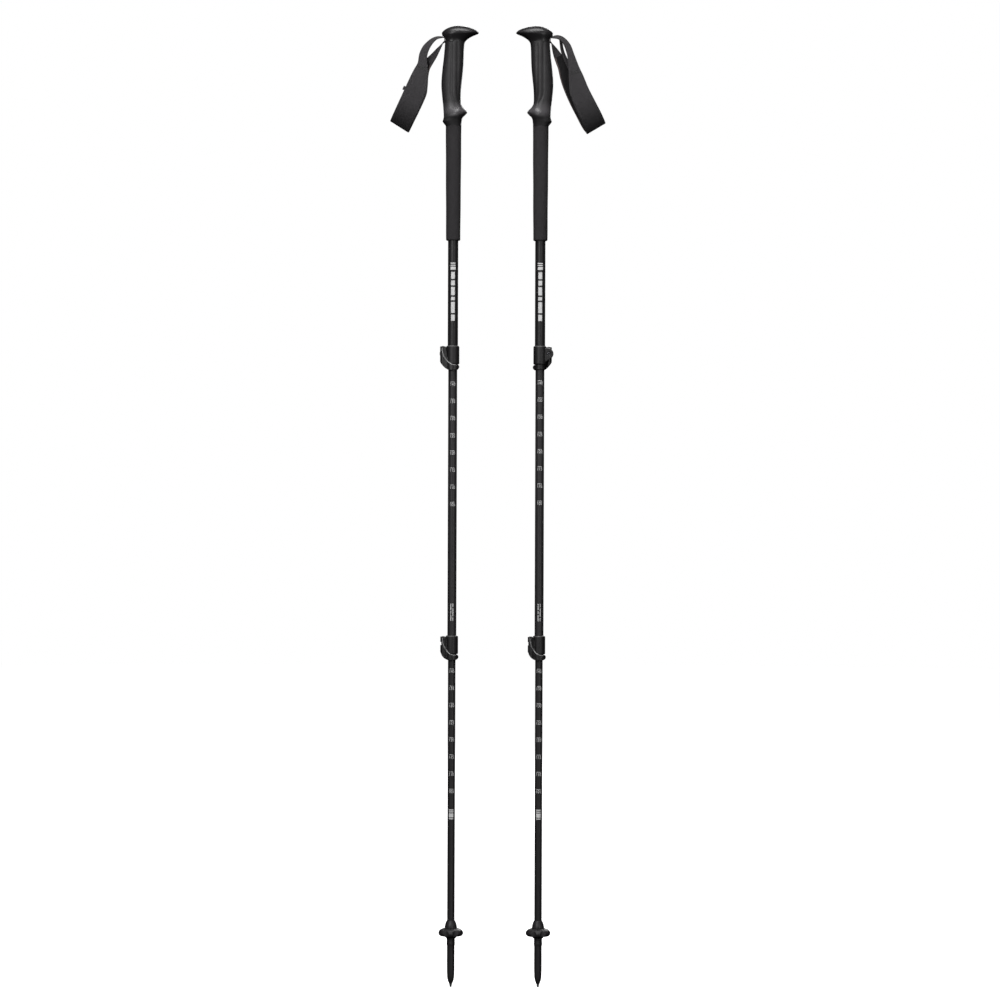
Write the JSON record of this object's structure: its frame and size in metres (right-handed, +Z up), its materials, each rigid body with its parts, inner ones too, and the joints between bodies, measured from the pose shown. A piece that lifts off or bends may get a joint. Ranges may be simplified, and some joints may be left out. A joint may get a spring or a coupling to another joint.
{
  "type": "pair of trekking poles",
  "caption": "Pair of telescopic trekking poles with lever clamps, moulded grips, wrist straps and flexible tips, shown fully extended.",
  "frame": {"origin": "on the ground plane at the tips, midway between the two poles", "axes": "+Z up along both poles, +X from the left pole to the right pole, +Y away from the viewer's side"},
  "size_m": [0.3114, 0.0362, 1.4],
  "materials": {
    "grip_rubber": "matt, finely textured moulded rubber",
    "grip_head_rubber": "smooth satin moulded rubber",
    "core_plastic": "moulded nylon, hidden in the grip",
    "webbing": "woven nylon webbing",
    "strap_padding": "woven webbing over a padded, soft-lined band",
    "foam": "matt closed-cell foam",
    "tube_upper": "black painted aluminium, satin",
    "tube_middle": "black painted aluminium, satin",
    "tube_lower": "black painted aluminium, satin",
    "guide_plastic": "natural nylon, hidden in the tubes",
    "clamp_plastic": "glass-filled nylon, satin",
    "lever_plastic": "glass-filled nylon, satin",
    "brass": "turned brass",
    "steel": "zinc-plated steel",
    "tip_plastic": "satin flexible nylon",
    "carbide": "sintered tungsten carbide",
    "basket_plastic": "flexible moulded plastic"
  },
  "bodies": {
    "left_upper": {"left_upper_tube": "tube_upper", "left_foam_sleeve": "foam", "left_grip_core": "core_plastic", "left_grip_handle": "grip_rubber", "left_grip_head": "grip_head_rubber", "left_strap_pin": "steel", "left_strap_wedge": "core_plastic", "left_strap_anchor": "webbing", "left_upper_clamp_housing": "clamp_plastic", "left_upper_clamp_pivot": "brass", "left_upper_clamp_screw": "steel", "left_upper_clamp_washer": "steel"},
    "left_middle_guide_body": {"left_middle_guide": "guide_plastic"},
    "left_middle": {"left_middle_tube": "tube_middle", "left_lower_clamp_housing": "clamp_plastic", "left_lower_clamp_pivot": "brass", "left_lower_clamp_screw": "steel", "left_lower_clamp_washer": "steel"},
    "left_lower_guide_body": {"left_lower_guide": "guide_plastic"},
    "left_lower": {"left_lower_tube": "tube_lower", "left_flex_tip": "tip_plastic", "left_carbide_point": "carbide"},
    "left_basket_body": {"left_basket": "basket_plastic"},
    "left_upper_lever": {"left_upper_clamp_lever": "lever_plastic"},
    "left_lower_lever": {"left_lower_clamp_lever": "lever_plastic"},
    "left_wrist_strap": {"left_strap": "strap_padding"},
    "right_upper": {"right_upper_tube": "tube_upper", "right_foam_sleeve": "foam", "right_grip_core": "core_plastic", "right_grip_handle": "grip_rubber", "right_grip_head": "grip_head_rubber", "right_strap_pin": "steel", "right_strap_wedge": "core_plastic", "right_strap_anchor": "webbing", "right_upper_clamp_housing": "clamp_plastic", "right_upper_clamp_pivot": "brass", "right_upper_clamp_screw": "steel", "right_upper_clamp_washer": "steel"},
    "right_middle_guide_body": {"right_middle_guide": "guide_plastic"},
    "right_middle": {"right_middle_tube": "tube_middle", "right_lower_clamp_housing": "clamp_plastic", "right_lower_clamp_pivot": "brass", "right_lower_clamp_screw": "steel", "right_lower_clamp_washer": "steel"},
    "right_lower_guide_body": {"right_lower_guide": "guide_plastic"},
    "right_lower": {"right_lower_tube": "tube_lower", "right_flex_tip": "tip_plastic", "right_carbide_point": "carbide"},
    "right_basket_body": {"right_basket": "basket_plastic"},
    "right_upper_lever": {"right_upper_clamp_lever": "lever_plastic"},
    "right_lower_lever": {"right_lower_clamp_lever": "lever_plastic"},
    "right_wrist_strap": {"right_strap": "strap_padding"}
  },
  "joints": [
    {"name": "left_middle_slide", "type": "slide", "parent": "left_upper", "child": "left_middle_guide_body", "axis": [0, 0, 1], "range_m": [0, 0.382]},
    {"name": "left_middle_turn", "type": "hinge", "parent": "left_middle_guide_body", "child": "left_middle", "pos_m": [-0.0635, 0, 0.975], "axis": [0, 0, 1], "continuous": true},
    {"name": "left_lower_slide", "type": "slide", "parent": "left_middle", "child": "left_lower_guide_body", "axis": [0, 0, 1], "range_m": [0, 0.376]},
    {"name": "left_lower_turn", "type": "hinge", "parent": "left_lower_guide_body", "child": "left_lower", "pos_m": [-0.0635, 0, 0.553], "axis": [0, 0, 1], "continuous": true},
    {"name": "left_basket_turn", "type": "hinge", "parent": "left_lower", "child": "left_basket_body", "pos_m": [-0.0635, 0, 0.078], "axis": [0, 0, 1], "continuous": true},
    {"name": "left_upper_lever_hinge", "type": "hinge", "parent": "left_upper", "child": "left_upper_lever", "pos_m": [-0.07774, -0.00648, 0.9226], "axis": [0, 0, -1], "range_deg": [0, 110]},
    {"name": "left_lower_lever_hinge", "type": "hinge", "parent": "left_middle", "child": "left_lower_lever", "pos_m": [-0.07601, -0.00713, 0.5006], "axis": [0, 0, -1], "range_deg": [0, 110]},
    {"name": "left_strap_swing", "type": "hinge", "parent": "left_upper", "child": "left_wrist_strap", "pos_m": [-0.0865, 0, 1.3827], "axis": [0, 1, 0], "range_deg": [0, 60]},
    {"name": "pole_spacing", "type": "slide", "parent": "left_upper", "child": "right_upper", "axis": [1, 0, 0], "range_m": [0, 0.4]},
    {"name": "right_middle_slide", "type": "slide", "parent": "right_upper", "child": "right_middle_guide_body", "axis": [0, 0, 1], "range_m": [0, 0.382]},
    {"name": "right_middle_turn", "type": "hinge", "parent": "right_middle_guide_body", "child": "right_middle", "pos_m": [0.0635, 0, 0.975], "axis": [0, 0, 1], "continuous": true},
    {"name": "right_lower_slide", "type": "slide", "parent": "right_middle", "child": "right_lower_guide_body", "axis": [0, 0, 1], "range_m": [0, 0.376]},
    {"name": "right_lower_turn", "type": "hinge", "parent": "right_lower_guide_body", "child": "right_lower", "pos_m": [0.0635, 0, 0.553], "axis": [0, 0, 1], "continuous": true},
    {"name": "right_basket_turn", "type": "hinge", "parent": "right_lower", "child": "right_basket_body", "pos_m": [0.0635, 0, 0.078], "axis": [0, 0, 1], "continuous": true},
    {"name": "right_upper_lever_hinge", "type": "hinge", "parent": "right_upper", "child": "right_upper_lever", "pos_m": [0.0767, 0.0084, 0.9226], "axis": [0, 0, -1], "range_deg": [0, 110]},
    {"name": "right_lower_lever_hinge", "type": "hinge", "parent": "right_middle", "child": "right_lower_lever", "pos_m": [0.05124, -0.00756, 0.5006], "axis": [0, 0, -1], "range_deg": [0, 110]},
    {"name": "right_strap_swing", "type": "hinge", "parent": "right_upper", "child": "right_wrist_strap", "pos_m": [0.0865, 0, 1.3827], "axis": [0, -1, 0], "range_deg": [0, 60]}
  ]
}
